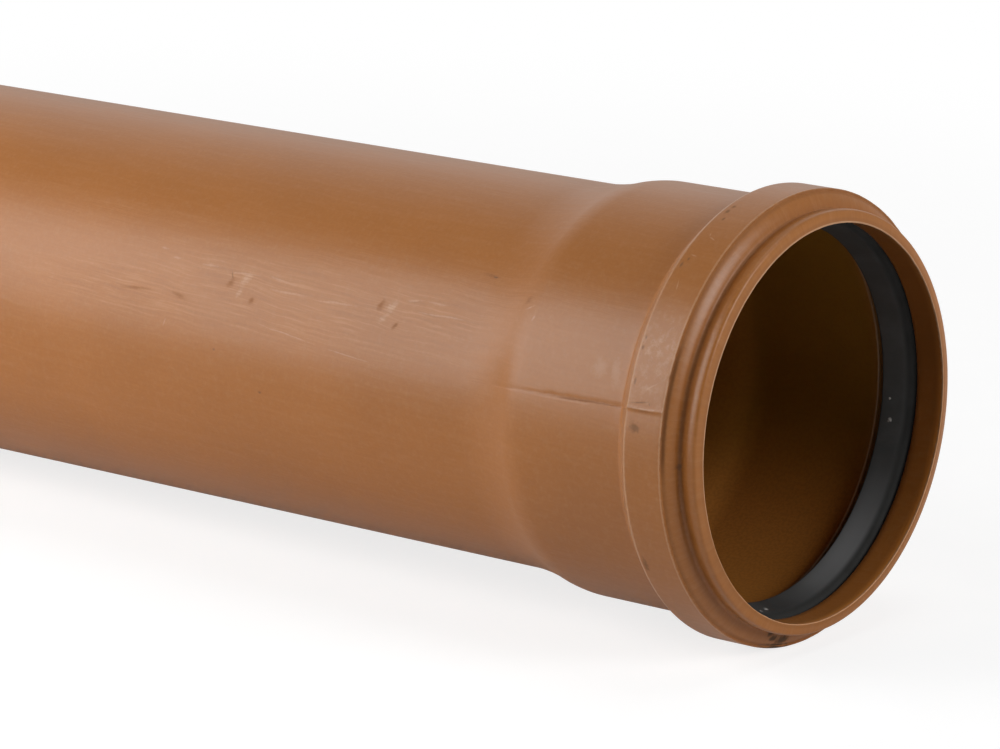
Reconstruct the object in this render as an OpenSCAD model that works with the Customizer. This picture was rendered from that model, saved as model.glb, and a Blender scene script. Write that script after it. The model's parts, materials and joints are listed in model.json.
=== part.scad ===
// Single socket drain pipe: an extruded plastic barrel with a plain chamfered end and, at the other end,
// a socket formed in the same wall. A rubber lip seal sits in a chamber just inside the socket's mouth.
// The pipe lies on the floor along X, with its mouth towards +X. Sizes are in millimetres.

/* [Barrel] */
// Outside diameter of the barrel
barrel_od = 110; // [75:1:160]
// Thickness of the wall, in the barrel and in the socket
wall = 3.2; // [2.4:0.1:4.5]
// Length that the pipe adds to a run: plain end to the inner end of the socket
laying_length = 500; // [250:50:3000]

/* [Plain end] */
// Length of the lead-in chamfer
chamfer_length = 6.5; // [3:0.5:8]
// Angle between the chamfer and the axis
chamfer_angle = 15; // [8:1:15]

/* [Socket] */
// Radial play round a plain end that is pushed into the socket
socket_play = 0.5; // [0.2:0.1:1]
// Depth of the straight socket, from the mouth to the start of the taper
socket_depth = 62; // [45:1:120]
// Length of the S-shaped taper from the socket down to the barrel
taper_length = 20.5; // [14:0.5:40]

/* [Ring chamber] */
// Distance from the mouth to the sharp front edge of the chamber's band
band_setback = 8.3; // [7.5:0.1:9.2]
// Length of the band, from its front edge to its rear edge
band_length = 12.3; // [11:0.1:18]
// Height of the band over the outside of the socket
band_rise = 4.7; // [3.5:0.1:6]
// Height of the sharp step at the band's front edge
band_step = 0.75; // [0.3:0.05:1.2]
// Angle between the band's rear slope and the axis
rear_slope = 45; // [30:1:60]
// Tangent length of the rounding at the top and at the foot of the rear slope
slope_round = 0.6; // [0.3:0.1:1]
// Distance from the mouth to the front wall of the ring groove
groove_setback = 9.4; // [9.3:0.1:10.5]
// Tangent length of the rounding at the inner foot of the groove's rear slope
foot_round = 1.5; // [0.5:0.1:1.8]

/* [Mouth] */
// Radius of the rounding on the rim's inner edge
rim_radius = 0.5; // [0.2:0.1:1]
// How far the end face leans back from the rim to the nose
nose_lean = 0.4; // [0.1:0.1:0.8]
// Radius of the nose, between the end face and the lip's outside
nose_radius = 1.5; // [0.8:0.1:2]
// Height of the lip over the outside of the socket
lip_rise = 0.4; // [0:0.1:1]
// Distance from the mouth to the bottom of the valley behind the lip
valley_setback = 5.2; // [4.6:0.1:5.6]
// Depth of the valley below the lip's outside
valley_depth = 0.9; // [0.5:0.1:1.5]
// Radius of the valley's hollow
valley_radius = 1.2; // [0.8:0.1:1.4]

/* [Lip seal] */
// Play between the seal and the walls of its groove
seal_play = 0.1; // [0.05:0.05:0.3]
// Radius of the seal's nose, between its front and its bearing face
seal_nose = 3; // [2:0.1:3.4]
// How far the lip's tip stands inside the barrel's outside surface
lip_grip = 2.5; // [1.5:0.1:3]
// Distance from the seal's front to the lip's tip, along the axis
lip_length = 9.4; // [8:0.1:11]
// Angle between the seal's bearing face and the axis
face_lean = 15; // [10:1:20]
// Thickness of the lip at its tip
lip_thickness = 1; // [0.6:0.1:1.4]
// Distance from the seal's front to the mouth side of the hollow behind the lip
hollow_setback = 4; // [3:0.1:5]
// Width of the hollow behind the lip
hollow_width = 1.8; // [1:0.1:2.2]
// Thickness of the seal's foot, between the hollow and the groove
foot_thickness = 2.7; // [2:0.1:3]
// Rounding on the seal's outer edges
seal_round = 0.6; // [0.3:0.1:1]

/* [Hidden] */
$fn = 96;
pipe_color = [0.67, 0.38, 0.19];
seal_color = [0.13, 0.13, 0.14];
arc_steps = 6;

overall_length = laying_length + socket_depth;
barrel_r = barrel_od / 2;
bore_r = barrel_r - wall;
mouth_r = barrel_r + socket_play;
socket_r = mouth_r + wall;
taper_end = socket_depth + taper_length;

// Ring chamber: the wall follows its own outside at an even thickness, so the inner corners of the rear
// slope lie nearer to the mouth than the outer ones
band_r = socket_r + band_rise;
groove_r = band_r - wall;
band_rear = band_setback + band_length;
slope_foot = band_rear + band_rise / tan(rear_slope);
slope_shift = wall * tan(rear_slope / 2);
groove_rear = band_rear - slope_shift;
groove_foot = slope_foot - slope_shift;

// Lip and valley: the lip falls gently into the valley, and the shoulder rises steeply out of it
lip_r = socket_r + lip_rise;
valley_r = lip_r - valley_depth;
valley_fall = 18;
valley_climb = 80;

// Lip seal
seal_front = groove_setback + seal_play;
seal_r = groove_r - seal_play;
tip_r = barrel_r - lip_grip;
foot_r = seal_r - foot_thickness;

// Points of an arc that leaves start at the given heading and ends at finish
function bend(start, heading, finish) =
    let (
        chord = finish - start,
        turn = 2 * (atan2(chord[1], chord[0]) - heading),
        radius = norm(chord) / (2 * sin(turn / 2))
    )
    [for (i = [0 : arc_steps])
        let (now = heading + turn * i / arc_steps)
        start + radius * [sin(now) - sin(heading), cos(heading) - cos(now)]];

// Two equal bends that carry a line from start to finish, with the same heading at both ends
function s_curve(start, heading, finish) =
    let (
        middle = (start + finish) / 2,
        chord = middle - start,
        steepest = 2 * atan2(chord[1], chord[0]) - heading
    )
    concat(bend(start, heading, middle), [for (p = bend(middle, steepest, finish)) if (p != middle) p]);

// Rounding of the given tangent length between two lines that meet at corner, with their headings
function round_off(corner, before, after, tangent) =
    bend(
        corner - tangent * [cos(before), sin(before)],
        before,
        corner + tangent * [cos(after), sin(after)]
    );

// Each profile is a list of [distance back from the mouth, radius]
function mouth_outside() =
    let (
        nose = [nose_lean, lip_r - nose_radius],
        nose_heading = 90 - atan2(nose_lean, nose[1] - mouth_r - rim_radius),
        hollow_front = valley_radius * [-sin(valley_fall), 1 - cos(valley_fall)],
        hollow_back = valley_radius * [sin(valley_climb), 1 - cos(valley_climb)],
        valley = [valley_setback, valley_r]
    )
    concat(
        bend(nose, nose_heading, nose + [nose_radius, nose_radius]),
        bend(valley + hollow_front, -valley_fall, valley + hollow_back),
        bend(valley + hollow_back, valley_climb, [band_setback, band_r - band_step])
    );

function chamber_outside() = concat(
    [[band_setback, band_r]],
    round_off([band_rear, band_r], 0, -rear_slope, slope_round),
    round_off([slope_foot, socket_r], -rear_slope, 0, slope_round)
);

function plain_end() = [
    [overall_length - chamfer_length, barrel_r],
    [overall_length, barrel_r - chamfer_length * tan(chamfer_angle)],
    [overall_length, bore_r]
];

function inside() = concat(
    s_curve([taper_end, bore_r], 180, [socket_depth, mouth_r]),
    round_off([groove_foot, mouth_r], 180, 180 - rear_slope, foot_round),
    [
        [groove_rear, groove_r],
        [groove_setback, groove_r],
        [groove_setback, mouth_r]
    ],
    bend([rim_radius, mouth_r], 180, [0, mouth_r + rim_radius])
);

function pipe_profile() = concat(
    mouth_outside(),
    chamber_outside(),
    s_curve([socket_depth, socket_r], 0, [taper_end, barrel_r]),
    plain_end(),
    inside()
);

// Where the seal's rear meets the groove's rear slope, at a given radius
function seal_rear(r) = groove_rear + (groove_r - r) / tan(rear_slope) - seal_play / sin(rear_slope);

function seal_profile() =
    let (
        tip = [seal_front + lip_length, tip_r],
        nose_rise = (lip_length - seal_nose) * tan(face_lean) + seal_nose / cos(face_lean),
        nose = [seal_front, tip_r + nose_rise],
        root = [seal_front + hollow_setback, foot_r]
    )
    concat(
        bend(nose, -90, nose + seal_nose * [1 - sin(face_lean), -cos(face_lean)]),
        bend(tip, -face_lean, tip + lip_thickness * [sin(face_lean), cos(face_lean)]),
        bend(root - [0, hollow_width], 180, root),
        [
            [seal_rear(foot_r), foot_r],
            [seal_rear(seal_r), seal_r],
            [seal_front + seal_round, seal_r],
            [seal_front, seal_r - seal_round]
        ]
    );

module turned(profile) {
    rotate_extrude() polygon([for (p = profile) [p[1], -p[0]]]);
}

// From a mouth that faces up at the origin to a pipe that lies on its band, centred along X
module lay_down() {
    translate([overall_length / 2, 0, band_r]) rotate([0, 90, 0]) children();
}

module pipe() {
    color(pipe_color) lay_down() turned(pipe_profile());
}

module seal_ring() {
    color(seal_color) lay_down() turned(seal_profile());
}

pipe();
seal_ring();
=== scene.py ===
# %% [markdown]
# # A single socket drain pipe
#
# The real pipe is one extruded plastic tube. One end is cut plain and chamfered. The other end was
# heated and formed into a socket, with a chamber that holds a black rubber lip seal. This lesson models
# both pieces again, finer than the solids that come with the frame, and gives them their worn plastic
# and rubber finishes.

# %% Load the frame
import json
import math
from functools import reduce

import bmesh
import bpy
from mathutils import Matrix, Vector, noise


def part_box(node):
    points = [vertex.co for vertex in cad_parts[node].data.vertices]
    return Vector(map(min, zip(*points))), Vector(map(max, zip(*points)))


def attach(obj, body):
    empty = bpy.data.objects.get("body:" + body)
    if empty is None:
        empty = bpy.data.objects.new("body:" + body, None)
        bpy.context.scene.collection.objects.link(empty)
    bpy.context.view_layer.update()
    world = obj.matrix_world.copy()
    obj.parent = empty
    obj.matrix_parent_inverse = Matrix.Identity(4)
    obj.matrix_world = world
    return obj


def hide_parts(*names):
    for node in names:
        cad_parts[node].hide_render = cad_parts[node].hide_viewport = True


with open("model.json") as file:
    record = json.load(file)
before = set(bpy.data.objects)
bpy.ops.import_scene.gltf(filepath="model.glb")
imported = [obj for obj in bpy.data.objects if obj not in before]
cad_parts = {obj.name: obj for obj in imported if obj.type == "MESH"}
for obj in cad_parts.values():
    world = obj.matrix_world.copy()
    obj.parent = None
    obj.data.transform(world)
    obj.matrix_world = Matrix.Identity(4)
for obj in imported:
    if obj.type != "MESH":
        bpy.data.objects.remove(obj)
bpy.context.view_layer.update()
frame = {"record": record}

# %% [markdown]
# ## Sizes
#
# Blender works in metres, but pipe makers think in millimetres, so sizes are written in millimetres and
# scaled once. The radii that other pipes fit come from the frame's own mounts. Along the pipe, a place
# is given as its distance back from the mouth, because everything of interest is at that end.

# %% Sizes from the frame
MM = 0.001
mounts = {mount["name"]: mount for mount in frame["record"]["mounts"]}
barrel_r = mounts["spigot"]["dims"]["r_mm"]
mouth_r = mounts["socket_mouth"]["dims"]["r_mm"]
axis_z = mounts["spigot"]["pos_m"][2]
band_r = axis_z / MM
plain_end_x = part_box("pipe")[0][0]
mouth_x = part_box("pipe")[1][0]
overall_length = (mouth_x - plain_end_x) / MM
print(f"barrel {barrel_r} mm, mouth {mouth_r} mm, band {band_r:.1f} mm, length {overall_length:.0f} mm")

# %% [markdown]
# ## Turning a piece
#
# Both pieces are round about one axis, so each is an outline that is spun once round. An outline could
# be drawn with all its little arcs as points, but then a radius is hard to change. Here it has only its
# corners, each with the length by which it is rounded, and the bevel operator cuts the arcs. Long
# straight stretches are divided, so that later steps have points to move. Spin gets slower with each
# step that it has made, so a thin slice is spun finely, and a second spin copies that slice round.

# %% A lathe made of bevel and spin
ARC_SEGMENTS = 6
SHARP_EDGE = math.radians(38)
MERGE_DISTANCE = 0.001


def on_the_pipe(back, radius, angle=0.0):
    """A point from its distance back from the mouth, radius, and angle from the top to the front."""
    turn = math.radians(angle)
    front, up = radius * MM * math.sin(turn), radius * MM * math.cos(turn)
    return Vector((mouth_x - back * MM, -front, axis_z + up))


def rounded_outline(corners, longest):
    """A closed chain of edges through (back, radius, rounding) corners, none longer than allowed."""
    bm = bmesh.new()
    chain = [bm.verts.new(on_the_pipe(back, radius)) for back, radius, _ in corners]
    for here, following in zip(chain, chain[1:] + chain[:1]):
        bm.edges.new((here, following))
    for rounding in sorted({corner[2] for corner in corners if corner[2]}):
        soft = [vert for vert, corner in zip(chain, corners) if corner[2] == rounding]
        bmesh.ops.bevel(bm, geom=soft, offset=rounding * MM, affect="VERTICES", segments=ARC_SEGMENTS,
                        profile=0.5, material=-1)
    for edge in list(bm.edges):
        middle = (edge.verts[0].co + edge.verts[1].co) / 2
        allowed = longest((mouth_x - middle.x) / MM) * MM
        cuts = math.ceil(edge.calc_length() / allowed) - 1
        if cuts:
            bmesh.ops.subdivide_edges(bm, edges=[edge], cuts=cuts)
    return bm


def spin_about_axis(bm, slices, steps_in_slice):
    """Spins the outline into one slice of a turn, copies it round the axis and closes the ring."""
    slice_angle = 2 * math.pi / slices
    about_axis = {"cent": (0, 0, axis_z), "axis": (1, 0, 0), "dvec": (0, 0, 0)}
    bmesh.ops.spin(bm, geom=bm.verts[:] + bm.edges[:], angle=slice_angle, steps=steps_in_slice,
                   **about_axis)
    bmesh.ops.spin(bm, geom=bm.verts[:] + bm.edges[:] + bm.faces[:], angle=2 * math.pi - slice_angle,
                   steps=slices - 1, use_duplicate=True, **about_axis)
    bmesh.ops.remove_doubles(bm, verts=bm.verts[:], dist=MERGE_DISTANCE * MM)
    bmesh.ops.recalc_face_normals(bm, faces=bm.faces[:])


def finished_piece(name, bm):
    """Makes the mesh an object, smooth apart from its sharp edges."""
    for face in bm.faces:
        face.smooth = True
    for edge in bm.edges:
        edge.smooth = edge.calc_face_angle(0.0) < SHARP_EDGE
    mesh = bpy.data.meshes.new(name)
    bm.to_mesh(mesh)
    bm.free()
    piece = bpy.data.objects.new(name, mesh)
    bpy.context.scene.collection.objects.link(piece)
    print(name, "has", len(mesh.vertices), "points and", len(mesh.polygons), "faces")
    return piece


# %% [markdown]
# ## The pipe's wall
#
# From the mouth, the outside of the wall goes over the nose and the flat crest of the lip, down into a
# valley, up a round shoulder and over a sharp little step onto the band of the ring chamber. Behind the
# band it slopes down to the socket. The taper leaves the socket in a short bend and runs into the barrel
# in a long one. The inside follows at the thickness of the wall, with a groove for the seal under the
# band. A tube with rings joined on would do from afar, but the real pipe is all one wall, so the outline
# is one closed chain.

# %% Outline of the wall
WALL = 3.2
SOCKET_DEPTH = 62.0
TAPER_FRONT, TAPER_FRONT_ROUND = 63.7, 3.2
TAPER_REAR, TAPER_REAR_ROUND = 76.0, 8.6
CHAMFER_LENGTH = 6.5
CHAMFER_ANGLE = math.radians(15)
BAND_FRONT, BAND_REAR = 8.3, 20.6
BAND_STEP = 0.75
GROOVE_FRONT, GROOVE_FOOT = 9.4, 22.4
LIP_RISE = 0.4
NOSE_BACK, NOSE_DROP = 0.55, 0.65
CREST_BACK, CREST_DROP = 2.3, 0.35
VALLEY_BACK, VALLEY_DEPTH = 5.8, 1.25
SHOULDER_BACK, SHOULDER_R = 6.7, 61.25
SOCKET_STEP, BARREL_STEP = 1.6, 20.0

socket_r = mouth_r + WALL
bore_r = barrel_r - WALL
groove_r = band_r - WALL
lip_r = socket_r + LIP_RISE
taper_end = TAPER_REAR + TAPER_REAR_ROUND
# The rear slope is at 45 degrees, so it is as long as the band is high
slope_foot = BAND_REAR + band_r - socket_r
slope_shift = WALL * math.tan(math.radians(45) / 2)
taper_shift = WALL * math.tan(math.atan2(socket_r - barrel_r, TAPER_REAR - TAPER_FRONT) / 2)


def wall_length_step(back):
    """Longest edge allowed along the wall: short in the socket, where there is moulded detail."""
    return SOCKET_STEP if back < taper_end else BARREL_STEP


def wall_corners():
    """Corners of the wall's outline as (back, radius, rounding), once round from the rim."""
    mouth_lip = [
        (0.0, mouth_r, 0.25),
        (NOSE_BACK, lip_r - NOSE_DROP, 0.6),
        (CREST_BACK, lip_r - CREST_DROP, 1.1),
        (VALLEY_BACK, lip_r - VALLEY_DEPTH, 0.9),
        (SHOULDER_BACK, SHOULDER_R, 2.05),
    ]
    band_and_taper = [
        (BAND_FRONT, band_r - BAND_STEP, 0.0),
        (BAND_FRONT, band_r, 0.12),
        (BAND_REAR, band_r, 0.6),
        (slope_foot, socket_r, 0.8),
        (TAPER_FRONT, socket_r, TAPER_FRONT_ROUND),
        (TAPER_REAR, barrel_r, TAPER_REAR_ROUND),
    ]
    plain_end = [
        (overall_length - CHAMFER_LENGTH, barrel_r, 0.3),
        (overall_length, barrel_r - CHAMFER_LENGTH * math.tan(CHAMFER_ANGLE), 0.2),
        (overall_length, bore_r, 0.2),
    ]
    inside = [
        (TAPER_REAR - taper_shift, bore_r, TAPER_REAR_ROUND),
        (TAPER_FRONT - taper_shift, mouth_r, TAPER_FRONT_ROUND),
        (GROOVE_FOOT, mouth_r, 0.5),
        (BAND_REAR - slope_shift, groove_r, 0.5),
        (GROOVE_FRONT, groove_r, 0.5),
        (GROOVE_FRONT, mouth_r, 0.7),
    ]
    return mouth_lip + band_and_taper + plain_end + inside


wall_mesh = rounded_outline(wall_corners(), wall_length_step)
print("outline of the wall has", len(wall_mesh.verts), "points")

# %% Spin the wall
WALL_SLICES, WALL_STEPS_IN_SLICE = 18, 20
spin_about_axis(wall_mesh, WALL_SLICES, WALL_STEPS_IN_SLICE)
print("wall has", len(wall_mesh.faces), "faces")

# %% [markdown]
# ## The parting seam
#
# The socket was formed between the halves of a mould. Where they met, the plastic shows a seam: a little
# ridge over the band, and a fine groove along the rest of the socket, a touch lower and fading towards
# the taper. Bump in the material could fake it, but then the mesh would be smooth there and the ridge
# would cast no shadow. So planes cut new edges along the seam, close together, and the points on them
# are pushed out or in, by amounts that wander a little.

# %% Cut the seam into the socket's outside
SEAM_FRONT, SEAM_REAR = BAND_FRONT, 75.0
SEAM_FRONT_ANGLE, SEAM_REAR_ANGLE = 77.6, 79.4
SEAM_CUTS = (-0.7, -0.3, 0.0, 0.3, 0.7)
SEAM_REACH = 2.5
SNAP_DISTANCE = 0.01
LEAST_OUTWARD = 0.3


def place_of(point):
    """Distance back from the mouth, radius, and angle from the top to the front, of a point."""
    front, up = -point.y, point.z - axis_z
    back, radius = (mouth_x - point.x) / MM, math.hypot(front, up) / MM
    return back, radius, math.degrees(math.atan2(front, up))


def outward_at(point):
    """The direction away from the pipe's axis."""
    return Vector((0, point.y, point.z - axis_z)).normalized()


seam_point = on_the_pipe(SEAM_FRONT, band_r, SEAM_FRONT_ANGLE)
seam_end = on_the_pipe(SEAM_REAR, barrel_r, SEAM_REAR_ANGLE)
seam_across = outward_at(seam_point).cross(seam_end - seam_point).normalized()


def seam_offset(point):
    """How far a point lies from the seam's plane, in millimetres, positive below it."""
    return (point - seam_point).dot(seam_across) / MM


def seam_faces(bm):
    """Faces on the outside of the socket, close to the seam."""
    chosen = []
    for face in bm.faces:
        centre = face.calc_center_median()
        near = abs(seam_offset(centre)) < SEAM_REACH and centre.y < 0
        along = SEAM_FRONT < place_of(centre)[0] < SEAM_REAR
        if near and along and face.normal.dot(outward_at(centre)) > LEAST_OUTWARD:
            chosen.append(face)
    return chosen


for offset in SEAM_CUTS:
    faces = seam_faces(wall_mesh)
    edges = {edge for face in faces for edge in face.edges}
    verts = {vert for face in faces for vert in face.verts}
    bmesh.ops.bisect_plane(wall_mesh, geom=[*faces, *edges, *verts], dist=SNAP_DISTANCE * MM,
                           plane_co=seam_point + seam_across * offset * MM, plane_no=seam_across)
print("seam cut over", len(seam_faces(wall_mesh)), "faces")

# %% Push the seam out over the band and in along the socket
RIDGE_HEIGHT = 0.3
GROOVE_DEPTH = 0.22
SEAM_HALF_WIDTH = 0.7
SEAM_FADE = 25.0
SEAM_SAG = 0.4
SEAM_ROUGHNESS, ROUGH_GRAIN = 1.2, 0.5
SEAM_WANDER, WANDER_GRAIN, WANDER_SEED = 0.5, 0.35, 5


def seam_height(back):
    """Height of the seam over the wall at a distance from the mouth, in millimetres."""
    rough = 1.0 + SEAM_ROUGHNESS * noise.noise(Vector((back * ROUGH_GRAIN, 0, 0)))
    if back < BAND_REAR:
        return RIDGE_HEIGHT * rough
    return -GROOVE_DEPTH * rough * min(1.0, (SEAM_REAR - back) / SEAM_FADE)


def seam_shift(back):
    """How far the seam has wandered down from its plane, in millimetres."""
    wander = SEAM_WANDER * noise.noise(Vector((back * WANDER_GRAIN, WANDER_SEED, 0)))
    return wander + (SEAM_SAG if back > BAND_REAR else 0.0)


seam_verts = {vert for face in seam_faces(wall_mesh) for vert in face.verts}
for vert in seam_verts:
    back = place_of(vert.co)[0]
    crest = 1.0 - abs(seam_offset(vert.co)) / SEAM_HALF_WIDTH
    if crest > 0 and back < SEAM_REAR:
        pushed = outward_at(vert.co) * crest * seam_height(back)
        vert.co += MM * (pushed + seam_across * crest * seam_shift(back))
print("seam moved", len(seam_verts), "points")

# %% [markdown]
# ## Ragged edges
#
# The front edge of the band and the rim of the mouth were cut while the plastic was warm, and handling
# has nicked them since. A perfect circle there looks drawn. The points of both edges are moved by a slow
# noise, and the band gets a few deeper nicks. The rim is also turned in a little, most of all at one
# side of the top, so the mouth is not quite round.

# %% Nick the band's edge and turn in the rim
EDGE_WANDER, RIM_WANDER = 0.14, 0.07
EDGE_FINENESS, EDGE_NOISE = 14.0, (0.8, 2.0, 3)
RIM_TURNED_IN = 0.25
OVAL_DEPTH, OVAL_ANGLE = 0.35, 35.0
BAND_NICKS = {12.0: 0.3, 69.0: 0.35, 84.5: 0.4, 131.0: 0.3, 205.0: 0.35, 290.0: 0.3}
NICK_HALF_WIDTH = 1.5
EDGE_LENGTH, EDGE_HEIGHT = 0.2, 0.3
RIM_LENGTH, RIM_HEIGHT = 0.6, 0.6


def nick_depth(angle):
    """Depth of the band's nicks at an angle."""
    depth = 0.0
    for middle, deepest in BAND_NICKS.items():
        apart = abs((angle - middle + 180) % 360 - 180)
        depth += deepest * max(0.0, 1 - apart / NICK_HALF_WIDTH)
    return depth


for vert in wall_mesh.verts:
    back, radius, angle = place_of(vert.co)
    rough = noise.fractal(outward_at(vert.co) * EDGE_FINENESS, *EDGE_NOISE)
    if abs(back - BAND_FRONT) < EDGE_LENGTH and radius > band_r - EDGE_HEIGHT:
        vert.co.x -= MM * (EDGE_WANDER * rough + nick_depth(angle))
    elif back < RIM_LENGTH and radius < mouth_r + RIM_HEIGHT:
        turned_in = RIM_TURNED_IN + OVAL_DEPTH * max(0.0, math.cos(math.radians(angle - OVAL_ANGLE)))
        vert.co += outward_at(vert.co) * MM * (RIM_WANDER * rough - turned_in)

pipe_wall = finished_piece("pipe_wall", wall_mesh)

# %% [markdown]
# ## The lip seal
#
# The seal fills the groove with its foot and front, and bends a lip inwards and back, away from the
# mouth. A pipe that is pushed in wipes along the sloped face and presses the lip outwards. The hollow
# behind the lip lets it bend. A squashed torus would be quicker, but it has no lip, so the seal is
# turned from its own outline, as the wall is.

# %% Outline and spin of the seal
SEAL_PLAY = 0.1
LIP_TIP_BACK, LIP_TIP_R = 18.9, 52.5
LIP_THICKNESS = 1.0
FACE_LEAN = math.radians(15)
HOLLOW_BACK, HOLLOW_INNER_R, HOLLOW_OUTER_R = 12.6, 56.1, 57.4
FOOT_SPREAD = 1.7
SEAL_STEP = 2.0
SEAL_SLICES, SEAL_STEPS_IN_SLICE = 15, 16

seal_front = GROOVE_FRONT + SEAL_PLAY
seal_r = groove_r - SEAL_PLAY
seal_rear = BAND_REAR - slope_shift - SEAL_PLAY


def seal_corners():
    """Corners of the seal's outline as (back, radius, rounding)."""
    front_r = LIP_TIP_R + (LIP_TIP_BACK - seal_front) * math.tan(FACE_LEAN)
    back_tip = LIP_TIP_BACK + LIP_THICKNESS * math.sin(FACE_LEAN)
    return [
        (seal_front, front_r, 2.3),
        (LIP_TIP_BACK, LIP_TIP_R, 0.45),
        (back_tip, LIP_TIP_R + LIP_THICKNESS * math.cos(FACE_LEAN), 0.45),
        (HOLLOW_BACK, HOLLOW_INNER_R, 0.8),
        (HOLLOW_BACK, HOLLOW_OUTER_R, 0.6),
        (seal_rear + FOOT_SPREAD, HOLLOW_OUTER_R, 0.3),
        (seal_rear, seal_r, 0.3),
        (seal_front, seal_r, 0.6),
    ]


seal_mesh = rounded_outline(seal_corners(), lambda back: SEAL_STEP)
spin_about_axis(seal_mesh, SEAL_SLICES, SEAL_STEPS_IN_SLICE)
seal_lip = finished_piece("seal_lip", seal_mesh)

# %% [markdown]
# ## Shader helpers
#
# Nodes are quicker to read as code when adding one takes one line. These helpers add a node, a sum, a
# soft step, a mix of two colours or a noise, and give back the output to plug in next. A mask is a value
# from 0 to 1, so two masks multiplied are on where both are, and their maximum where either is.

# %% Helpers that add nodes
MIX_FACTOR = 0
MIX_NUMBER_UNDER, MIX_NUMBER_OVER, MIX_NUMBER_RESULT = 2, 3, 0
MIX_COLOUR_UNDER, MIX_COLOUR_OVER, MIX_COLOUR_RESULT = 6, 7, 2


def add_node(tree, kind, inputs=None, **settings):
    """Adds a shader node, and gives each input a plain value or another node's output."""
    made = tree.nodes.new("ShaderNode" + kind)
    for name, value in settings.items():
        setattr(made, name, value)
    for name, value in (inputs or {}).items():
        if isinstance(value, bpy.types.NodeSocket):
            tree.links.new(value, made.inputs[name])
        else:
            made.inputs[name].default_value = value
    return made


def calc(tree, operation, *values):
    """The output of a Math node."""
    return add_node(tree, "Math", dict(enumerate(values)), operation=operation).outputs[0]


def both(tree, *masks):
    """A mask that is on where all of several masks are."""
    return reduce(lambda one, other: calc(tree, "MULTIPLY", one, other), masks)


def either(tree, *masks):
    """A mask that is on where any of several masks is."""
    return reduce(lambda one, other: calc(tree, "MAXIMUM", one, other), masks)


def vector_calc(tree, operation, *values):
    """The outputs of a Vector Math node."""
    return add_node(tree, "VectorMath", dict(enumerate(values)), operation=operation).outputs


def soft_step(tree, value, start, end, low=0.0, high=1.0):
    """A smooth step from low to high as a value goes from start to end."""
    inputs = {"Value": value, "From Min": start, "From Max": end, "To Min": low, "To Max": high}
    return add_node(tree, "MapRange", inputs, interpolation_type="SMOOTHSTEP").outputs["Result"]


def lay_over(tree, mask, under, over):
    """One colour laid over another where a mask is 1."""
    inputs = {MIX_FACTOR: mask, MIX_COLOUR_UNDER: under, MIX_COLOUR_OVER: over}
    return add_node(tree, "Mix", inputs, data_type="RGBA").outputs[MIX_COLOUR_RESULT]


def cloud(tree, vector, scale, detail=2.0, roughness=0.5):
    """Soft noise around 0.5."""
    inputs = {"Vector": vector, "Scale": scale, "Detail": detail, "Roughness": roughness}
    return add_node(tree, "TexNoise", inputs).outputs["Fac"]


def swing(tree, noise_value, reach):
    """Noise around 0.5, made to swing by a reach to both sides of 0."""
    return calc(tree, "MULTIPLY_ADD", noise_value, 2 * reach, -reach)


def node_group(name, inputs, outputs):
    """An empty shader node group with named sockets, and the ends to plug into."""
    group = bpy.data.node_groups.new(name, "ShaderNodeTree")
    for direction, sockets in (("INPUT", inputs), ("OUTPUT", outputs)):
        for socket_name, kind in sockets.items():
            group.interface.new_socket(name=socket_name, in_out=direction,
                                       socket_type="NodeSocket" + kind)
    return group, group.nodes.new("NodeGroupInput").outputs, group.nodes.new("NodeGroupOutput").inputs


# %% [markdown]
# ## Where on the pipe
#
# Marks on a pipe are easiest to place on its unrolled surface: so far back from the mouth, and so far
# round from the top. A node group works that out from Object coordinates, so the plastic and the rubber
# share one map. A UV map would do it too, but it would need a seam and would stretch over the taper. The
# group also says how far a place is from the axis, and whether the surface there faces the axis, which
# is true of the inside only.

# %% The unrolled surface as a node group


def make_place_group():
    """Millimetres back from the mouth and round from the top, radius, and 1 on the inside."""
    outputs = {"Place": "Vector", "Radius": "Float", "Inside": "Float"}
    group, _, ends = node_group("place_on_pipe", {}, outputs)
    coordinates = add_node(group, "TexCoord").outputs
    axes = add_node(group, "SeparateXYZ", {"Vector": coordinates["Object"]}).outputs
    back = calc(group, "MULTIPLY_ADD", axes["X"], -1 / MM, mouth_x / MM)
    front = calc(group, "MULTIPLY", axes["Y"], -1 / MM)
    up = calc(group, "MULTIPLY_ADD", axes["Z"], 1 / MM, -axis_z / MM)
    around = calc(group, "MULTIPLY", calc(group, "ARCTAN2", front, up), barrel_r)
    place = add_node(group, "CombineXYZ", {"X": back, "Y": around}).outputs["Vector"]
    behind = calc(group, "MULTIPLY", front, -1.0)
    from_axis = add_node(group, "CombineXYZ", {"Y": behind, "Z": up}).outputs["Vector"]
    radius = vector_calc(group, "LENGTH", from_axis)["Value"]
    facing = vector_calc(group, "DOT_PRODUCT", coordinates["Normal"], from_axis)["Value"]
    group.links.new(place, ends["Place"])
    group.links.new(radius, ends["Radius"])
    group.links.new(calc(group, "LESS_THAN", facing, 0.0), ends["Inside"])
    return group


def around_at(angle):
    """Millimetres round from the top, on the barrel, for an angle in degrees."""
    return math.radians(angle) * barrel_r


place_group = make_place_group()
print("node group", place_group.name)

# %% [markdown]
# ## Marks
#
# Scratches, bruises and smudges are all long or short ellipses on the unrolled surface, so one node
# group serves them all. A Mapping node brings a place into the mark's own frame, where the mark is a
# circle of radius 1, and the distance from its middle says how far out the place is. A ring is the same
# for a line right round the pipe. Noise is added to these distances later, because no real mark has a
# smooth edge.

# %% Mark and ring as node groups


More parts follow.
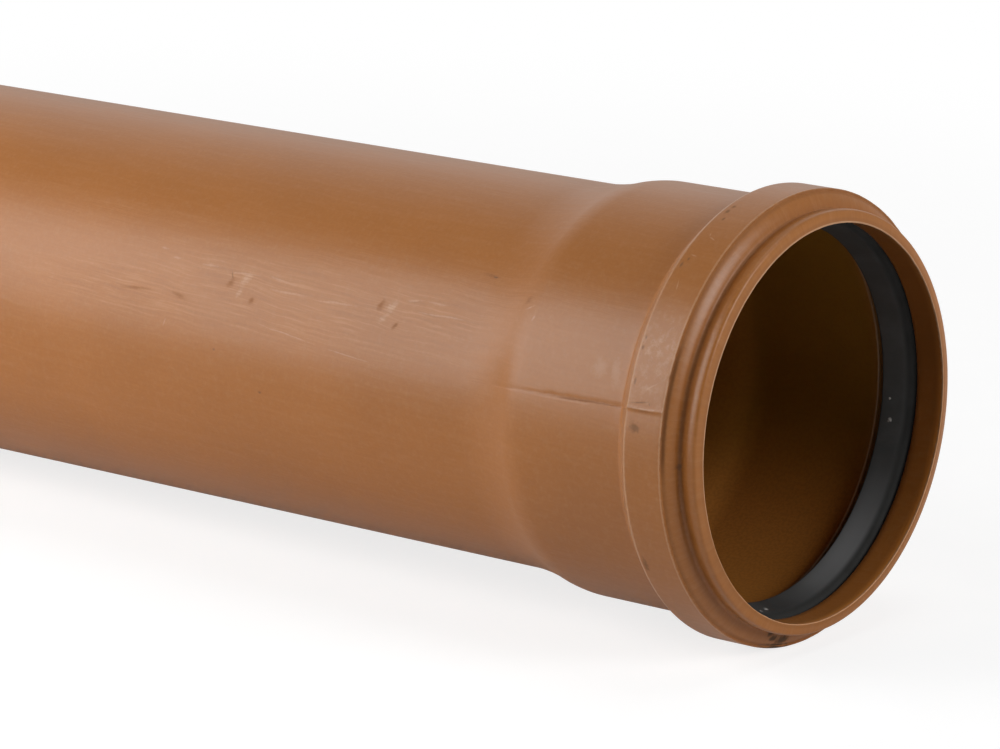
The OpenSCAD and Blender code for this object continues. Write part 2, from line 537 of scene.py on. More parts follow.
def make_mark_group():
    """How far a place is from the middle of a mark, where 1 is the mark's edge."""
    inputs = {"Place": "Vector", "Middle": "Vector", "Turn": "Vector", "Reach": "Vector"}
    group, given, ends = node_group("mark", inputs, {"Gap": "Float"})
    frame_inputs = {"Vector": given["Place"], "Location": given["Middle"], "Rotation": given["Turn"],
                    "Scale": given["Reach"]}
    in_mark = add_node(group, "Mapping", frame_inputs, vector_type="TEXTURE").outputs["Vector"]
    group.links.new(vector_calc(group, "LENGTH", in_mark)["Value"], ends["Gap"])
    return group


def make_ring_group():
    """How far a place is from a line round the pipe, where 1 is the line's edge."""
    inputs = {"Place": "Vector", "Back": "Float", "Width": "Float"}
    group, given, ends = node_group("ring", inputs, {"Gap": "Float"})
    back = add_node(group, "SeparateXYZ", {"Vector": given["Place"]}).outputs["X"]
    apart = calc(group, "ABSOLUTE", calc(group, "SUBTRACT", back, given["Back"]))
    group.links.new(calc(group, "DIVIDE", apart, given["Width"]), ends["Gap"])
    return group


mark_group, ring_group = make_mark_group(), make_ring_group()
print("node groups", [group.name for group in bpy.data.node_groups])

# %% [markdown]
# ## Fine lines
#
# A pipe slides along its length when it is stacked and pushed, so its fine scuffs run lengthwise. Noise
# that is stretched along the pipe gives such lines. Each kind of line has its own fineness, and drifts a
# little round the pipe as it goes back, because no pipe slides quite straight.

# %% Lengthwise lines as a node group
LINE_NOISE = (1.0, 3.0, 0.6)


def make_lines_group():
    """Fine lines along the pipe: how strong, around 0.5."""
    inputs = {"Place": "Vector", "Per Millimetre": "Float", "Stretch": "Float", "Drift": "Float"}
    group, given, ends = node_group("fine_lines", inputs, {"Lines": "Float"})
    axes = add_node(group, "SeparateXYZ", {"Vector": given["Place"]}).outputs
    around = calc(group, "MULTIPLY_ADD", axes["X"], given["Drift"], axes["Y"])
    fine = calc(group, "MULTIPLY", around, given["Per Millimetre"])
    along = calc(group, "DIVIDE", axes["X"], given["Stretch"])
    stretched = add_node(group, "CombineXYZ", {"X": along, "Y": fine}).outputs["Vector"]
    group.links.new(cloud(group, stretched, *LINE_NOISE), ends["Lines"])
    return group


lines_group = make_lines_group()
print("node group", lines_group.name)

# %% [markdown]
# ## From marks to masks
#
# A mask says how much of a layer shows at a place. It comes from the gap to the closest mark of a kind,
# or to a ring. The gap gets some noise before it is cut off at 1, which makes the edge of the mask
# ragged.

# %% Masks from marks, rings and lines
SMOOTH_EDGE = 0.0


def closest_mark(tree, place, marks):
    """The gap to the closest of several marks."""
    closest = None
    for (back, angle), reach, turn in marks:
        inputs = {"Place": place, "Middle": (back, around_at(angle), 0),
                  "Turn": (0, 0, math.radians(turn)), "Reach": (*reach, 1)}
        gap = add_node(tree, "Group", inputs, node_tree=mark_group).outputs["Gap"]
        closest = gap if closest is None else calc(tree, "MINIMUM", closest, gap)
    return closest


def ring_gap(tree, place, back, width):
    """The gap to a line round the pipe."""
    inputs = {"Place": place, "Back": back, "Width": width}
    return add_node(tree, "Group", inputs, node_tree=ring_group).outputs["Gap"]


def inside_gap(tree, gap, ragged, strength, softness=0.8):
    """A mask from a gap, with ragged edges."""
    return soft_step(tree, calc(tree, "ADD", gap, ragged), 1.0, 1.0 - softness, 0.0, strength)


def mark_mask(tree, place, marks, ragged, strength, softness=0.8):
    """A mask of several marks."""
    return inside_gap(tree, closest_mark(tree, place, marks), ragged, strength, softness)


def ring_mask(tree, place, ring, ragged, strength):
    """A mask of a ring, which is given as (back, half width)."""
    return inside_gap(tree, ring_gap(tree, place, *ring), ragged, strength)


def fine_lines(tree, place, per_millimetre, stretch, drift):
    """Fine lengthwise lines."""
    inputs = {"Place": place, "Per Millimetre": per_millimetre, "Stretch": stretch, "Drift": drift}
    return add_node(tree, "Group", inputs, node_tree=lines_group).outputs["Lines"]


# %% [markdown]
# ## Orange-brown plastic
#
# The pipe is coloured right through, with a satin gloss. What makes it look real is its history: pale
# scuffs and dark bruises on the side that was dragged, short scratches and dust on the band, where the
# dust also stands in as painted sheen, rubbed bars beside it, painted paler as sheen, smudges of grime,
# and darkening at the bottom, behind the lip. All marks are placed by where they are on the pipe, as
# (back from the mouth, angle from the top).

# %% Colours and places of the marks
PLASTIC = (0.385, 0.139, 0.0275, 1)
PALE = (0.58, 0.36, 0.22, 1)
SCUFFED = (0.52, 0.26, 0.12, 1)
# A pale film that also stands in as painted sheen on the band's rear slope
SLOPE_FILM_AND_SHEEN = (0.30, 0.17, 0.11, 1)
# Dark brown is the tone of bruises and uneven plastic, and also of painted shade under the socket, in
# corners and on the land
DARK_BROWN = (0.17, 0.058, 0.012, 1)
DARK_MARK = (0.090, 0.052, 0.028, 1)

# Each mark is its middle, its half length and half width in millimetres, and its turn away from the axis
PALE_SCRATCHES = (
    ((201, 57.9), (2.2, 0.5), 0), ((195.1, 60.1), (2.6, 0.55), 0), ((181.8, 60.7), (4.8, 0.55), -2),
    ((168.5, 61.8), (7.0, 0.45), 3), ((154, 61.4), (7.0, 0.45), -7), ((150.5, 64.5), (9.0, 0.45), 0),
    ((132.5, 65.1), (9.0, 0.45), 1), ((106, 60), (3.8, 0.45), 4), ((97.8, 60), (5.0, 0.45), -3),
    ((94, 63.3), (12.5, 0.35), 0), ((149.6, 76.6), (13.8, 0.28), -7), ((125.5, 79.3), (11, 0.28), -5),
    ((194.7, 80.6), (1.5, 0.35), 70), ((64, 57.1), (2.0, 0.4), 26), ((61.4, 59.8), (1.2, 0.5), 69),
    ((16.7, 29.1), (1.0, 0.25), -70), ((15, 30.4), (1.6, 0.25), -24), ((17, 36.5), (1.5, 0.3), -10),
    ((16.4, 46.2), (2.6, 0.25), -72), ((13.7, 72), (3.6, 0.3), 28), ((14.5, 77.3), (6.2, 0.3), 1),
)
PALE_PATCHES = (
    ((167.4, 63.1), (3.6, 1.8), 44), ((168.6, 67.3), (2.4, 1.1), 56), ((113.2, 63.4), (3.4, 1.9), 54),
    ((115.1, 67), (2.0, 1.3), 46),
)
# Rubbed bars, painted paler where their sheen differs
RUBBED_SHEEN = (((29.5, 70), (5.5, 1.9), -79), ((35, 69.5), (3.4, 3.2), 0))
DARK_TICKS = (
    ((172.9, 62.4), (1.8, 0.3), -63), ((82, 48.9), (0.9, 0.35), 0), ((175, 85.4), (0.7, 0.5), 0),
    ((157.7, 95.7), (0.9, 0.5), 0), ((16.3, 76.2), (3.4, 0.3), 8), ((13.2, 76.3), (0.5, 0.3), 90),
)
BRUISES = (
    ((172.5, 65), (2.8, 1.6), 54), ((163.6, 69), (2.2, 1.4), 51), ((190.6, 71.4), (3.8, 1.2), -20),
    ((207, 71.6), (8, 0.7), 4), ((117, 63.3), (3.0, 1.5), 60), ((110.4, 68.4), (2.0, 1.2), 43),
    ((83.6, 48.6), (3.8, 0.9), -7), ((65.5, 55.3), (2.2, 1.5), 40), ((39, 78.8), (14.5, 0.6), 1.4),
    ((14.5, 78.2), (6.5, 0.5), 1),
)
# Dust on the band, whose paleness also stands in as painted sheen
BAND_DUST_AND_SHEEN = (((14.5, 65), (9, 17), 0),)
# Painted shade on the underside of the socket
SHADED = (((28, 126), (48, 46), 0),)
DRAGGED = (((150, 67), (95, 17), 0), ((205, 72), (60, 12), 0), ((98, 63), (30, 10), 0))
SMUDGES = (
    ((18.3, 17), (0.9, 1.2), 0), ((18.6, 19.6), (0.9, 1.4), 0), ((17.3, 22.8), (0.6, 0.9), 0),
    ((18.8, 40), (0.6, 1.2), 0), ((17.8, 38), (0.5, 0.8), 0), ((19.4, 60.5), (0.5, 0.7), 0),
    ((19.3, 63), (0.5, 0.7), 0), ((19.2, 71.5), (0.5, 1.5), 0), ((17.2, 82.4), (2.4, 1.8), 0),
    ((19, 119.5), (1.2, 3.0), 0), ((5.6, 91.3), (1.0, 1.2), 0),
)
# Darker at the bottom, behind the lip and along the foot of the band there
BOTTOM_DARK_MARKS = (
    ((6.0, 164.2), (0.6, 1.9), 0), ((6.6, 166.2), (0.6, 2.2), 0), ((7.0, 170.2), (1.2, 3.8), 0),
    ((8.2, 169.5), (0.8, 7.5), 0),
)
print(len(PALE_SCRATCHES), "scratches,", len(BRUISES), "bruises and", len(SMUDGES), "smudges")

# %% [markdown]
# ## Worn edges and painted shade in corners
#
# Edges that stick out take the knocks, so the rim and both edges of the band are paler, and that
# paleness also stands in as a painted highlight along them. The corners get painted shade: the strip
# beside the rim, the valley behind the lip, and the foot of the band's front edge, which is in the
# band's shadow and darkest beside the parting seam. Pointiness could find edges by itself, but it
# depends on how fine the mesh is, so each is a ring here, held to its own surface by a span of radii.

# %% Masks of edges and corners
BAND_FRONT_RING, BAND_REAR_RING = (BAND_FRONT + 0.3, 0.45), (BAND_REAR - 0.2, 0.6)
BAND_TOP = (band_r - 0.35, band_r - 0.15)
# Paleness of the band's edges and the rim: wear and a painted highlight
BAND_EDGE_WEAR_AND_GLINT = 0.3
RIM_RING, RIM_INSIDE = (0.1, 0.8), (mouth_r + 0.1, mouth_r - 0.15)
RIM_WEAR_AND_GLINT = 0.6
# Painted shade in the corners: beside the rim, in the valley, and at the band's foot
STRIP_RING, STRIP_INSIDE = (0.0, 1.2), (mouth_r + 1.4, mouth_r + 0.5)
STRIP_SHADE = 0.22
VALLEY_RING, VALLEY_SHADE = (5.4, 0.8), 0.35
VALLEY_BOTTOM, VALLEY_TOP = (mouth_r + 1.5, mouth_r + 2.2), (59.3, 58.3)
FOOT_RING, FOOT_RAGGED = (BAND_FRONT - 0.2, 0.8), 0.4
FOOT_BOTTOM, FOOT_TOP = (61.3, 62.3), (band_r - 0.05, band_r - 0.25)
DARKEST_FOOT_ANGLE = 77
DARKEST_FOOT_SPAN = (around_at(20), around_at(10), 0.3, 0.9)


def gap_round(tree, around, angle):
    """Millimetres round the barrel between a place and an angle."""
    return calc(tree, "ABSOLUTE", calc(tree, "SUBTRACT", around, around_at(angle)))


def worn_and_glinting_edges(tree, place, radius, ragged):
    """Mask of the edges that knocks have made paler, with a painted highlight: the rim, and both edges
    of the band.
    """
    front_gap = ring_gap(tree, place, *BAND_FRONT_RING)
    band_gap = calc(tree, "MINIMUM", front_gap, ring_gap(tree, place, *BAND_REAR_RING))
    on_top = soft_step(tree, radius, *BAND_TOP)
    band_edges = both(tree, inside_gap(tree, band_gap, ragged, BAND_EDGE_WEAR_AND_GLINT), on_top)
    rim = ring_mask(tree, place, RIM_RING, ragged, RIM_WEAR_AND_GLINT)
    return either(tree, band_edges, both(tree, rim, soft_step(tree, radius, *RIM_INSIDE)))


def corner_painted_shade(tree, place, around, radius, ragged):
    """Mask of painted shade in the corners: beside the rim, the valley, and the band's front foot."""
    beside_rim = both(tree, soft_step(tree, radius, *STRIP_INSIDE),
                      ring_mask(tree, place, STRIP_RING, SMOOTH_EDGE, STRIP_SHADE))
    valley = both(tree, ring_mask(tree, place, VALLEY_RING, ragged, VALLEY_SHADE),
                  soft_step(tree, radius, *VALLEY_BOTTOM), soft_step(tree, radius, *VALLEY_TOP))
    slight = calc(tree, "MULTIPLY", ragged, FOOT_RAGGED)
    darkest = soft_step(tree, gap_round(tree, around, DARKEST_FOOT_ANGLE), *DARKEST_FOOT_SPAN)
    foot = both(tree, ring_mask(tree, place, FOOT_RING, slight, strength=1.0), darkest,
                soft_step(tree, radius, *FOOT_BOTTOM), soft_step(tree, radius, *FOOT_TOP))
    return either(tree, valley, foot, beside_rim)


# %% [markdown]
# ## The inside
#
# The bore is browner than the outside, and darker, which is painted shade, and lighter on its bottom and
# at its deep end, which is painted light. The land, the plain ring between the rim and the seal, has
# painted shade beside the seal and on the side that is turned away from the light, and a painted gleam
# at its front. It could be left to the lamps, but soft lamps alone don't make it as deep as in the
# photograph, so the material has it too.

# %% Tones of the inside
# Browner tone of the bore, darkened as painted shade
BORE_BROWN_AND_SHADE = (0.205, 0.097, 0.011, 1)
# Painted light on the bore's bottom and at its deep end
BORE_PAINTED_LIGHT = (0.48, 0.192, 0.038, 1)
# Painted gleam on the front of the land, towards the rim
LAND_PAINTED_GLEAM = (0.78, 0.30, 0.065, 1)
LIT_BOTTOM_SPAN = (around_at(100), around_at(144))
LIT_DEEP_SPAN = (SOCKET_DEPTH, SOCKET_DEPTH + 8, 0.0, 0.3)
BORE_GRAIN = (0.4, 0.62, 0.0, 0.25)
BEHIND_SEAL = (16.0, 26.0)
LAND_REAR, LAND_RADII = (12.0, 10.0), (mouth_r + 0.4, mouth_r + 0.1)
TURNED_AWAY_ANGLE = -50
TURNED_AWAY_SPAN = (around_at(60), around_at(25), 0.0, 0.8)
# Painted shade on the land beside the seal
BESIDE_SEAL = (6.6, GROOVE_FRONT, 0.0, 0.85)
LAND_GLEAM_SPAN = (3.2, 0.6, 0.0, 0.85)


def lay_bore(tree, colour, inside, back, around, skin):
    """Lays the bore's tone, with painted shade and painted light, over a colour, behind the seal."""
    low = soft_step(tree, calc(tree, "ABSOLUTE", around), *LIT_BOTTOM_SPAN)
    lit_deep = soft_step(tree, back, *LIT_DEEP_SPAN)
    bore_shade_and_light = lay_over(tree, either(tree, low, lit_deep), BORE_BROWN_AND_SHADE, BORE_PAINTED_LIGHT)
    bore_shade_and_light = lay_over(tree, soft_step(tree, skin, *BORE_GRAIN), bore_shade_and_light, DARK_BROWN)
    return lay_over(tree, both(tree, inside, soft_step(tree, back, *BEHIND_SEAL)), colour, bore_shade_and_light)


def lay_land(tree, colour, inside, back, around, radius):
    """Lays painted shade and a painted gleam over a colour, on the land between the rim and the seal."""
    on_land = both(tree, inside, soft_step(tree, back, *LAND_REAR), soft_step(tree, radius, *LAND_RADII))
    turned_away = soft_step(tree, gap_round(tree, around, TURNED_AWAY_ANGLE), *TURNED_AWAY_SPAN)
    land_shade = either(tree, turned_away, soft_step(tree, back, *BESIDE_SEAL))
    colour = lay_over(tree, both(tree, on_land, land_shade), colour, DARK_BROWN)
    facing_light = calc(tree, "SUBTRACT", 1.0, turned_away)
    gleam = both(tree, on_land, soft_step(tree, back, *LAND_GLEAM_SPAN), facing_light)
    return lay_over(tree, gleam, colour, LAND_PAINTED_GLEAM)


# %% [markdown]
# ## Layers of the plastic
#
# Colour is built up in layers, as a painter would: bare plastic with a little unevenness, streaks on the
# dragged side, painted shade on the underside, a pale film and dust that also stand in as painted sheen,
# then single marks. The inside gets its own tones, with painted shade and painted light. Painted shade
# in corners, worn edges with a painted highlight, and dark spots come last. Dark spots, bruises and the
# corner shade then raise the roughness, because they don't shine, and the lines tilt the surface a
# little, so they show most in the highlight.

# %% Wear on the outside
# Noise on the unrolled surface, as (scale per millimetre, detail, roughness)
PATCHY_NOISE, MOTTLE_NOISE = (0.02, 3.0), (0.45, 5.0, 0.7)
# How noise becomes a mask: start and end of a soft step, then how strong the mask is at each
PATCHY_SPAN, SKIN_SPAN = (0.3, 0.7, 0.0, 0.12), (0.35, 0.65, 0.0, 0.08)
BROAD_SPAN, DUST_SPAN = (0.45, 0.8, 0.0, 0.10), (0.45, 0.74)
DULL_STREAKS, PALE_STREAKS = (0.52, 0.30, 0.0, 0.2), (0.48, 0.72, 0.0, 0.45)
STREAKS_ON_DRAGGED, STREAKS_ELSEWHERE = 0.85, 0.15
# Strength of dust with painted sheen on the band, and of dust elsewhere
DUST_AND_SHEEN_ON_BAND, DUST_ELSEWHERE = 0.5, 0.08
# Ring of pale film and painted sheen on the band's rear slope, as (back, half width)
SLOPE_SHEEN_RING, SLOPE_SHEEN_STRENGTH = (22.6, 3.2), 0.4


def lay_wear(tree, place, ragged, streaks, broad_lines, skin, dragged):
    """The plastic's colour outside, from bare plastic to painted shade underneath, film and dust with
    painted sheen, and rubbed bars.
    """
    uneven = soft_step(tree, cloud(tree, place, *PATCHY_NOISE), *PATCHY_SPAN)
    colour = lay_over(tree, uneven, PLASTIC, DARK_BROWN)
    colour = lay_over(tree, soft_step(tree, broad_lines, *BROAD_SPAN), colour, SCUFFED)
    colour = lay_over(tree, soft_step(tree, skin, *SKIN_SPAN), colour, DARK_BROWN)
    streaked = calc(tree, "MULTIPLY_ADD", dragged, STREAKS_ON_DRAGGED, STREAKS_ELSEWHERE)
    dull_streaks = both(tree, soft_step(tree, streaks, *DULL_STREAKS), streaked)
    colour = lay_over(tree, dull_streaks, colour, DARK_BROWN)
    pale_streaks = both(tree, soft_step(tree, streaks, *PALE_STREAKS), streaked)
    colour = lay_over(tree, pale_streaks, colour, SCUFFED)
    # Painted shade on the socket's underside, laid as dark brown
    shaded = mark_mask(tree, place, SHADED, SMOOTH_EDGE, strength=0.3, softness=0.7)
    colour = lay_over(tree, shaded, colour, DARK_BROWN)
    # Pale film and painted sheen on the band's rear slope
    slope_film_and_sheen = ring_mask(tree, place, SLOPE_SHEEN_RING, SMOOTH_EDGE, SLOPE_SHEEN_STRENGTH)
    colour = lay_over(tree, slope_film_and_sheen, colour, SLOPE_FILM_AND_SHEEN)
    # Dust, with painted sheen on the band
    band_dust_and_sheen = mark_mask(tree, place, BAND_DUST_AND_SHEEN, SMOOTH_EDGE, DUST_AND_SHEEN_ON_BAND)
    dust_and_sheen_field = calc(tree, "ADD", band_dust_and_sheen, DUST_ELSEWHERE)
    dust_and_sheen = both(tree, soft_step(tree, cloud(tree, place, *MOTTLE_NOISE), *DUST_SPAN), dust_and_sheen_field)
    colour = lay_over(tree, dust_and_sheen, colour, PALE)
    # Rubbed bars beside the band, painted paler as sheen
    return lay_over(tree, mark_mask(tree, place, RUBBED_SHEEN, ragged, strength=0.22), colour, PALE)


# %% The plastic itself
WAVER_NOISE, WAVER_REACH = (0.05, 2.0), 1.2
RAGGED_NOISE, RAGGED_REACH = (0.8, 4.0, 0.65), 0.8
SKIN_NOISE = (1.1, 3.0)
# Fine lines, as (lines per millimetre, stretch along the pipe, drift)
STREAK_LINES, BROAD_LINES = (1.25, 17.0, 0.06), (0.35, 40.0, 0.04)
PATCH_STREAKS = (0.32, 0.58)
PLAIN_ROUGHNESS, STREAK_ROUGHNESS = 0.29, 0.12
DRAGGED_ROUGHNESS, DULL_ROUGHNESS = 0.05, 0.5
SKIN_HEIGHT, STREAK_HEIGHT, BROAD_HEIGHT = 0.012, 0.02, 0.05
PLASTIC_SPECULAR = 0.36


def make_plastic():
    """Satin orange-brown plastic with the pipe's own marks, painted shade and painted light."""
    material = bpy.data.materials.new("orange_brown_plastic")
    material.use_nodes = True
    tree = material.node_tree
    shader = tree.nodes["Principled BSDF"]
    located = add_node(tree, "Group", node_tree=place_group).outputs
    place, radius, inside = located["Place"], located["Radius"], located["Inside"]
    axes = add_node(tree, "SeparateXYZ", {"Vector": place}).outputs
    back, around = axes["X"], axes["Y"]
    waver = swing(tree, cloud(tree, place, *WAVER_NOISE), WAVER_REACH)
    sideways = add_node(tree, "CombineXYZ", {"Y": waver}).outputs["Vector"]
    wavering = vector_calc(tree, "ADD", place, sideways)["Vector"]
    ragged = swing(tree, cloud(tree, place, *RAGGED_NOISE), RAGGED_REACH)
    streaks = fine_lines(tree, wavering, *STREAK_LINES)
    broad_lines = fine_lines(tree, wavering, *BROAD_LINES)
    skin = cloud(tree, place, *SKIN_NOISE)
    dragged = mark_mask(tree, place, DRAGGED, ragged, strength=1.0)

    colour = lay_wear(tree, place, ragged, streaks, broad_lines, skin, dragged)
    bruised = mark_mask(tree, place, BRUISES, ragged, strength=0.5, softness=1.2)
    colour = lay_over(tree, bruised, colour, DARK_BROWN)
    patched = both(tree, mark_mask(tree, place, PALE_PATCHES, ragged, strength=0.55, softness=1.0),
                   soft_step(tree, streaks, *PATCH_STREAKS))
    scratched = mark_mask(tree, wavering, PALE_SCRATCHES, ragged, strength=0.42, softness=1.0)
    colour = lay_over(tree, either(tree, scratched, patched), colour, PALE)
    colour = lay_bore(tree, colour, inside, back, around, skin)
    colour = lay_land(tree, colour, inside, back, around, radius)
    corners = corner_painted_shade(tree, place, around, radius, ragged)
    # Painted shade in the corners, laid as dark brown
    colour = lay_over(tree, corners, colour, DARK_BROWN)
    # Worn edges, paler from wear and a painted highlight
    colour = lay_over(tree, worn_and_glinting_edges(tree, place, radius, ragged), colour, PALE)
    outside = calc(tree, "SUBTRACT", 1.0, inside)
    darkened_bottom = both(tree, mark_mask(tree, place, BOTTOM_DARK_MARKS, ragged, strength=0.95), outside)
    smudged = mark_mask(tree, place, SMUDGES, ragged, strength=0.5)
    ticked = mark_mask(tree, place, DARK_TICKS, ragged, strength=0.55)
    dark_marks = either(tree, darkened_bottom, smudged, ticked)
    colour = lay_over(tree, dark_marks, colour, DARK_MARK)
    tree.links.new(colour, shader.inputs["Base Color"])

    roughness = calc(tree, "MULTIPLY_ADD", streaks, STREAK_ROUGHNESS, PLAIN_ROUGHNESS)
    roughness = calc(tree, "MULTIPLY_ADD", dragged, DRAGGED_ROUGHNESS, roughness)
    dull_spots = either(tree, corners, dark_marks, bruised)
    roughness = calc(tree, "MULTIPLY_ADD", dull_spots, DULL_ROUGHNESS, roughness)
    tree.links.new(roughness, shader.inputs["Roughness"])
    height = calc(tree, "MULTIPLY", skin, SKIN_HEIGHT)
    height = calc(tree, "MULTIPLY_ADD", streaks, STREAK_HEIGHT, height)
    height = calc(tree, "MULTIPLY_ADD", broad_lines, BROAD_HEIGHT, height)
    bump = add_node(tree, "Bump", {"Height": height, "Distance": MM})
    tree.links.new(bump.outputs["Normal"], shader.inputs["Normal"])
    shader.inputs["Specular IOR Level"].default_value = PLASTIC_SPECULAR
    return material


plastic = make_plastic()
print(plastic.name, "has", len(plastic.node_tree.nodes), "nodes")

# %% [markdown]
# ## Black rubber
#
# The seal is moulded from black rubber with a dull sheen, and it is not one even black: a film lightens
# it in patches, a painted sheen lightens its lower far side, and a few pale crumbs stick to it. Its
# nose, close to the groove's front wall, is darkened as painted shade, and the tip of its lip is
# darkened too.
# Each of these is a mask, as on the plastic.

# %% The rubber itself
RUBBER = (0.036, 0.038, 0.038, 1)
# Near black for painted shade on the nose, and for the darker tip of the lip
NEAR_BLACK = (0.006, 0.006, 0.005, 1)
BLOOM = (0.082, 0.083, 0.083, 1)
SHEEN_GREY = (0.170, 0.176, 0.180, 1)
CRUMB = (0.42, 0.41, 0.39, 1)
# Painted sheen on the seal's lower far side
SEAL_PAINTED_SHEEN = (((15.5, -146), (12, 36), 0),)
CRUMBS = (
    ((15.9, -102.5), (0.7, 0.9), 0), ((14.3, 172), (0.9, 1.1), 0), ((13.5, 168.5), (0.6, 0.6), 0),
    ((16.5, -96), (0.4, 0.5), 0),
)
BLOOM_NOISE, BLOOM_SPAN = (0.12, 5.0, 0.6), (0.4, 0.75, 0.0, 0.35)
GRAIN_NOISE, SPECK_SPAN = (1.6, 2.0), (0.7, 0.8, 0.0, 0.5)
CRUMB_RAGGED = 0.7
NOSE_SPAN, TIP_SPAN = (12.8, 10.9), (18.3, 18.8)
RUBBER_ROUGHNESS, BLOOM_ROUGHNESS, NOSE_AND_TIP_ROUGHNESS = 0.45, 0.3, 0.35
RUBBER_LINES = (0.8, 30.0, 0.0)
GRAIN_HEIGHT, CRUMB_HEIGHT, LINE_HEIGHT = 0.02, 0.15, 0.02


def make_rubber():
    """Dull black rubber with a lighter film in patches, a few crumbs, painted sheen and painted shade.
    """
    material = bpy.data.materials.new("black_rubber")
    material.use_nodes = True
    tree = material.node_tree
    shader = tree.nodes["Principled BSDF"]
    place = add_node(tree, "Group", node_tree=place_group).outputs["Place"]
    back = add_node(tree, "SeparateXYZ", {"Vector": place}).outputs["X"]
    bloom = soft_step(tree, cloud(tree, place, *BLOOM_NOISE), *BLOOM_SPAN)
    grain = cloud(tree, place, *GRAIN_NOISE)
    # Painted shade on the nose, and a darker tip of the lip
    dark_nose_and_tip = either(tree, soft_step(tree, back, *NOSE_SPAN), soft_step(tree, back, *TIP_SPAN))
    crumbs = mark_mask(tree, place, CRUMBS, swing(tree, grain, CRUMB_RAGGED), strength=1.0)
    colour = lay_over(tree, either(tree, bloom, soft_step(tree, grain, *SPECK_SPAN)), RUBBER, BLOOM)
    # Painted sheen on the seal's lower far side, laid as grey
    painted_sheen = mark_mask(tree, place, SEAL_PAINTED_SHEEN, SMOOTH_EDGE, strength=1.0, softness=1.0)
    colour = lay_over(tree, painted_sheen, colour, SHEEN_GREY)
    colour = lay_over(tree, dark_nose_and_tip, colour, NEAR_BLACK)
    colour = lay_over(tree, crumbs, colour, CRUMB)
    tree.links.new(colour, shader.inputs["Base Color"])
    roughness = calc(tree, "MULTIPLY_ADD", bloom, BLOOM_ROUGHNESS, RUBBER_ROUGHNESS)
    roughness = calc(tree, "MULTIPLY_ADD", dark_nose_and_tip, NOSE_AND_TIP_ROUGHNESS, roughness)
    tree.links.new(roughness, shader.inputs["Roughness"])
    height = calc(tree, "MULTIPLY", grain, GRAIN_HEIGHT)
    height = calc(tree, "MULTIPLY_ADD", crumbs, CRUMB_HEIGHT, height)
    height = calc(tree, "MULTIPLY_ADD", fine_lines(tree, place, *RUBBER_LINES), LINE_HEIGHT, height)
    bump = add_node(tree, "Bump", {"Height": height, "Distance": MM})
    tree.links.new(bump.outputs["Normal"], shader.inputs["Normal"])
    return material


rubber = make_rubber()
print(rubber.name, "has", len(rubber.node_tree.nodes), "nodes")

# %% [markdown]
# ## Dressing the frame
#
# Each new piece stands for one of the frame's solids, which is hidden, rides on the frame's only body,
# and gets its own material.

# %% Finish the two pieces
for piece, material, node in ((pipe_wall, plastic, "pipe"), (seal_lip, rubber, "seal_ring")):
    piece.data.materials.append(material)
    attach(piece, "root")
    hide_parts(node)
    print(piece.name, "stands for", node)

# %% [markdown]
# ## Floor
#
# The pipe lies on its band and on the far end of its barrel, which is thinner, so the floor leans a
# little to meet both. To the camera the floor glows almost white near the pipe. The grey tone under that
# glow, about a third of white, takes the lamps' light and so keeps a soft shadow. Further out the floor
# is plain white. Lamps alone could make it white, but they would wash out the pipe. Reflections see half
# of the glow, and hardly any right under the pipe, so the underside mirrors a dark floor.

# %% The floor and its material
FLOOR_SIZE = 8.0
FLOOR_WHITE = 0.9
FLOOR_GLOW_NEAR = 0.78
FLOOR_TONE_NEAR = 0.34
FLOOR_FADE = (0.25, 0.75)
FLOOR_ROUGHNESS = 0.9
FLECK_NOISE, FLECK_SPAN = (60.0, 3.0), (0.3, 0.7, 0.97, 1.0)
MIRRORED_SHARE = 0.5
MIRRORED_UNDER = 0.12
UNDER_MIDDLE, UNDER_REACH = (0.06, 0.06, 0), (0.5, 0.15, 1)
UNDER_FADE = (1.0, 0.55)


def seen_directly(tree, mirrored_share):
    """1 for the camera and through clear glass, a share for reflections, 0 for light that bounces."""
    rays = add_node(tree, "LightPath").outputs
    mirrored = calc(tree, "MULTIPLY", rays["Is Glossy Ray"], mirrored_share)
    return either(tree, rays["Is Camera Ray"], mirrored, rays["Is Transmission Ray"])


def make_floor_finish():
    """Pale floor that reads as white and keeps the pipe's shadow."""
    material = bpy.data.materials.new("pale_floor")
    material.use_nodes = True
    tree = material.node_tree
    shader = tree.nodes["Principled BSDF"]
    point = add_node(tree, "TexCoord").outputs["Object"]
    distance = vector_calc(tree, "LENGTH", point)["Value"]
    from_under = vector_calc(tree, "SUBTRACT", point, UNDER_MIDDLE)["Vector"]
    in_reach = vector_calc(tree, "DIVIDE", from_under, UNDER_REACH)["Vector"]
    under_gap = vector_calc(tree, "LENGTH", in_reach)["Value"]
    seen = seen_directly(tree, soft_step(tree, under_gap, *UNDER_FADE, MIRRORED_SHARE, MIRRORED_UNDER))
    tone = soft_step(tree, distance, *FLOOR_FADE, FLOOR_TONE_NEAR, 0.0)
    glow = soft_step(tree, distance, *FLOOR_FADE, FLOOR_GLOW_NEAR, 1.0)
    tones = {MIX_FACTOR: seen, MIX_NUMBER_UNDER: FLOOR_WHITE, MIX_NUMBER_OVER: tone}
    level = add_node(tree, "Mix", tones).outputs[MIX_NUMBER_RESULT]
    level = calc(tree, "MULTIPLY", level, soft_step(tree, cloud(tree, point, *FLECK_NOISE), *FLECK_SPAN))
    colour = add_node(tree, "CombineColor", {"Red": level, "Green": level, "Blue": level})
    tree.links.new(colour.outputs["Color"], shader.inputs["Base Color"])
    tree.links.new(calc(tree, "MULTIPLY", seen, glow), shader.inputs["Emission Strength"])
    shader.inputs["Emission Color"].default_value = (1, 1, 1, 1)
    shader.inputs["Roughness"].default_value = FLOOR_ROUGHNESS
    shader.inputs["Specular IOR Level"].default_value = 0.0
    return material


